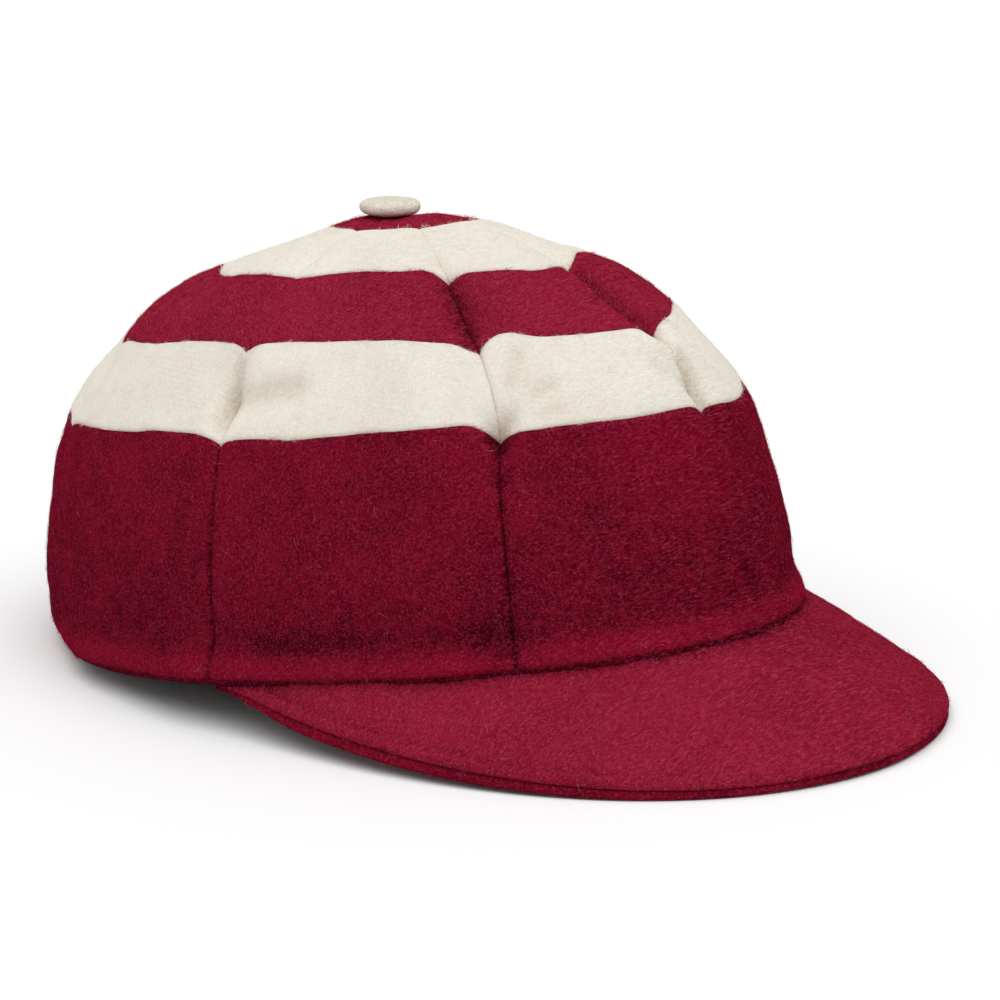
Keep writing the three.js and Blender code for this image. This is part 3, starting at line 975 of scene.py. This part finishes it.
def cover_button():
    turn_line = np.linspace(0, 2 * math.pi, button_sides, endpoint=False)
    climb_line = np.linspace(-math.pi / 2, math.pi / 2, button_rings + 2)[1:-1]
    turn, climb = np.meshgrid(turn_line, climb_line)
    radius = button_radius * np.cos(climb) ** 0.42
    z = button_height / 2 * np.sign(np.sin(climb)) * np.abs(np.sin(climb)) ** 0.9
    points = np.stack([radius * np.cos(turn), radius * np.sin(turn), z], -1)
    points = points * (1 + 0.014 * waves(points, 7, 31)[..., None])
    ends = [[0, 0, -button_height / 2], [0, 0, button_height / 2]]
    points = np.concatenate([points.reshape(-1, 3), ends])
    faces = []
    for j in range(button_rings - 1):
        for i in range(button_sides):
            after = (i + 1) % button_sides
            low, high = j * button_sides, (j + 1) * button_sides
            faces.append((low + i, low + after, high + after, high + i))
    bottom, top = button_rings * button_sides, button_rings * button_sides + 1
    last = (button_rings - 1) * button_sides
    for i in range(button_sides):
        after = (i + 1) % button_sides
        faces.append((bottom, after, i))
        faces.append((top, last + i, last + after))
    return points, faces


eyelet = crown_base(np.array(0.0), np.array(float(last_row))) + np.array([0, eyelet_radius, 0])
button_centre = rested(eyelet + np.array([0, 0, button_above_eyelet]))
button_points, button_faces = cover_button()
# Painted shade: the button's lower half darkens towards its underside.
button_edge_shade = np.clip(0.75 * smooth_step(-button_points[:, 2], 0.3, 2.2), 0, 1)
button_points = button_points * MM + button_centre
button_look = (button_edge_shade, button_wool, "cream_wool")
button = make_piece("covered_button", button_points, button_faces, *button_look, "button")
print("button", round(button.dimensions.x * 1000, 1), "mm across")

# %% [markdown]
# ## The nap
# What tells felt from smooth cloth is its nap: short fibres that lie every way on the surface and
# blur its edges, and now and then a long stray one. Hair particles would need far more strands than
# the mesh may hold, so a few fibres are made as one small tuft, and the tuft is scattered. Each fibre
# is a thin ribbon that bends a little.

# %% A tuft of fibres
def make_tuft(name, fibres, length, half_width, lift, steps, seed):
    rng = np.random.default_rng(seed)
    points, faces = [], []
    for _ in range(fibres):
        heading = rng.uniform(0, 2 * math.pi)
        size = length * rng.uniform(0.6, 1.2)
        bend = rng.uniform(-1.1, 1.1)
        x, y = rng.uniform(-0.4, 0.4, 2) * length
        rise = lift * rng.uniform(0.4, 1.2)
        first = len(points)
        for k in range(steps + 1):
            t = k / steps
            half = half_width * (1 - 0.7 * t)
            z = 0.03 + size * rise * math.sin(min(t * 1.9, 1.75))
            side_x, side_y = -math.sin(heading) * half, math.cos(heading) * half
            points += [(x - side_x, y - side_y, z), (x + side_x, y + side_y, z + 0.02)]
            x += math.cos(heading) * size / steps
            y += math.sin(heading) * size / steps
            heading += bend / steps
        faces += [(a, a + 1, a + 3, a + 2) for a in range(first, first + 2 * steps, 2)]
    mesh = bpy.data.meshes.new(name)
    mesh.from_pydata((np.array(points) * MM).tolist(), [], faces)
    tuft = bpy.data.objects.new(name, mesh)
    bpy.context.scene.collection.objects.link(tuft)
    return tuft


short_tuft = make_tuft("short tuft", 6, 1.8, 0.05, 0.15, 2, 41)
stray = make_tuft("stray fibre", 1, 4.5, 0.034, 0.06, 9, 42)
print("a tuft has", len(short_tuft.data.polygons), "faces, a stray fibre", len(stray.data.polygons))

# %% [markdown]
# ## A tree that plants the tufts
# Geometry Nodes scatter the tufts over a surface, turn each one by chance round the surface's own
# normal and tilt it a little. A loop could do that too, but the tree has named inputs for how many
# tufts there are, how large they are and which seed is used, so one tree serves every hoop. It ends
# by making the copies real and giving them a wool.

# %% The nap's node tree
nap_tree = bpy.data.node_groups.new("felted nap", "GeometryNodeTree")
nap_inputs = {
    "Geometry": "NodeSocketGeometry",
    "Tuft": "NodeSocketObject",
    "Tufts per square metre": "NodeSocketFloat",
    "Smallest": "NodeSocketFloat",
    "Largest": "NodeSocketFloat",
    "Tilt": "NodeSocketFloat",
    "Seed": "NodeSocketInt",
    "Wool": "NodeSocketMaterial",
}
for socket_name, kind in nap_inputs.items():
    nap_tree.interface.new_socket(socket_name, in_out="INPUT", socket_type=kind)
nap_tree.interface.new_socket("Geometry", in_out="OUTPUT", socket_type="NodeSocketGeometry")
new_node = nap_tree.nodes.new
wire = nap_tree.links.new
given = new_node("NodeGroupInput").outputs
scatter = new_node("GeometryNodeDistributePointsOnFaces")
spin = new_node("FunctionNodeRandomValue")
spin.data_type = "FLOAT_VECTOR"
any_size = new_node("FunctionNodeRandomValue")
any_size.data_type = "FLOAT"
low_turn = new_node("ShaderNodeCombineXYZ")
high_turn = new_node("ShaderNodeCombineXYZ")
high_turn.inputs["Z"].default_value = 2 * math.pi
negative = new_node("ShaderNodeMath")
negative.operation = "MULTIPLY"
negative.inputs[1].default_value = -1
to_rotation = new_node("FunctionNodeEulerToRotation")
turned = new_node("FunctionNodeRotateRotation")
turned.rotation_space = "LOCAL"
tuft_shape = new_node("GeometryNodeObjectInfo")
plant = new_node("GeometryNodeInstanceOnPoints")
realize = new_node("GeometryNodeRealizeInstances")
paint = new_node("GeometryNodeSetMaterial")
print("nap tree has", len(nap_tree.nodes), "nodes")

# %% Wire the nap's node tree
wire(given["Geometry"], scatter.inputs["Mesh"])
wire(given["Tufts per square metre"], scatter.inputs["Density"])
for node in (scatter, spin, any_size):
    wire(given["Seed"], node.inputs["Seed"])
wire(given["Tilt"], negative.inputs[0])
for axis in ("X", "Y"):
    wire(negative.outputs[0], low_turn.inputs[axis])
    wire(given["Tilt"], high_turn.inputs[axis])
wire(low_turn.outputs[0], spin.inputs[0])
wire(high_turn.outputs[0], spin.inputs[1])
wire(given["Smallest"], any_size.inputs[2])
wire(given["Largest"], any_size.inputs[3])
wire(spin.outputs[0], to_rotation.inputs[0])
wire(scatter.outputs["Rotation"], turned.inputs[0])
wire(to_rotation.outputs[0], turned.inputs[1])
wire(given["Tuft"], tuft_shape.inputs["Object"])
wire(scatter.outputs["Points"], plant.inputs["Points"])
wire(tuft_shape.outputs["Geometry"], plant.inputs["Instance"])
wire(turned.outputs[0], plant.inputs["Rotation"])
wire(any_size.outputs[1], plant.inputs["Scale"])
wire(plant.outputs[0], realize.inputs[0])
wire(realize.outputs[0], paint.inputs["Geometry"])
wire(given["Wool"], paint.inputs["Material"])
wire(paint.outputs[0], new_node("NodeGroupOutput").inputs[0])
print("nap tree has", len(nap_tree.links), "links")

# %% [markdown]
# ## Raise the nap
# Each nap starts from the outside of the strips that were noted while they were sewn. Faces that lie
# close to the floor are left out, so that no fibre pokes through it. The tree grows the fibres on
# this ground, the result is kept as a plain mesh, and the ground is removed.

# %% Raise the nap
clear_of_floor = 1.5
tuft_tilt = 0.2


def raise_nap(name, parts, tuft, density, sizes, seed, material):
    points, faces, first = [], [], 0
    for part in parts:
        for patch_points, patch_faces in naps[part]:
            above_floor = patch_points[patch_faces][:, :, 2].min(axis=1) > clear_of_floor * MM
            points.append(patch_points)
            faces.append(patch_faces[above_floor] + first)
            first += len(patch_points)
    mesh = bpy.data.meshes.new(name + " ground")
    mesh.from_pydata(np.concatenate(points).tolist(), [], np.concatenate(faces).tolist())
    ground = bpy.data.objects.new(name + " ground", mesh)
    bpy.context.scene.collection.objects.link(ground)
    modifier = ground.modifiers.new("nap", "NODES")
    modifier.node_group = nap_tree
    values = {"Tuft": tuft, "Tufts per square metre": density, "Smallest": sizes[0], "Largest": sizes[1]}
    values.update({"Tilt": tuft_tilt, "Seed": seed, "Wool": material})
    for item in nap_tree.interface.items_tree:
        if item.in_out == "INPUT" and item.name in values:
            modifier[item.identifier] = values[item.name]
    bpy.context.view_layer.update()
    grown = bpy.data.meshes.new_from_object(ground.evaluated_get(bpy.context.evaluated_depsgraph_get()))
    bpy.data.objects.remove(ground)
    grown.name = name
    fibres = bpy.data.objects.new(name, grown)
    bpy.context.scene.collection.objects.link(fibres)
    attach(fibres, "root")
    return len(grown.polygons) * 2


print("the nap starts", clear_of_floor, "mm above the floor")

# %% [markdown]
# ## Ten naps
# The fibres are a little paler than the cloth under them, because light comes through them. The
# fringes lie thicker along the hoops' edges, where raw cloth was cut, and the stray fibres are few,
# long and paler still.

# %% Grow every nap
maroon_nap = plain_material("maroon nap", (0.44, 0.032, 0.07), 0.9, gloss=0)
# The band's nap is darker too: painted shade, like the wool under it.
band_nap = plain_material("shaded band nap", (0.31, 0.011, 0.042), 0.9, gloss=0)
cream_nap = plain_material("cream nap", (0.845, 0.80, 0.71), 0.9, gloss=0)
pink_stray = plain_material("pale stray wool", (0.50, 0.20, 0.22), 0.9, gloss=0)
#      name: where it grows, tuft, tufts per square metre, smallest and largest size, material, slot
raised = {
    "band_nap": (["band"], short_tuft, 2.0e5, (0.6, 1.2), band_nap, "maroon_wool"),
    "peak_nap": (["peak_top"], short_tuft, 3.0e5, (0.45, 0.9), maroon_nap, "maroon_wool"),
    "peak_under_nap": (["peak_under"], short_tuft, 1.2e5, (0.45, 0.9), band_nap, "maroon_wool"),
    "mid_maroon_nap": (["mid_maroon"], short_tuft, 3.0e5, (0.6, 1.1), maroon_nap, "maroon_wool"),
    "tip_maroon_nap": (["tip_maroon"], short_tuft, 3.0e5, (0.6, 1.1), maroon_nap, "maroon_wool"),
    "low_cream_nap": (["low_cream"], short_tuft, 2.0e5, (0.35, 0.75), cream_nap, "cream_wool"),
    "high_cream_nap": (["high_cream"], short_tuft, 2.0e5, (0.35, 0.75), cream_nap, "cream_wool"),
    "maroon_fringe": (["maroon_wool_edges"], short_tuft, 9.0e5, (0.6, 1.2), maroon_nap, "maroon_wool"),
    "cream_fringe": (["cream_wool_edges"], short_tuft, 5.0e5, (0.5, 1.3), cream_nap, "cream_wool"),
    "stray_fibres": (["band", "mid_maroon", "peak_top"], stray, 7.0e3, (0.3, 0.9), pink_stray, "maroon_wool"),
}
for seed, (name, (parts, tuft, density, sizes, material, slot)) in enumerate(raised.items(), start=1):
    print(name, raise_nap(name, parts, tuft, density, sizes, seed, material), "triangles")
bpy.data.objects.remove(short_tuft)
bpy.data.objects.remove(stray)
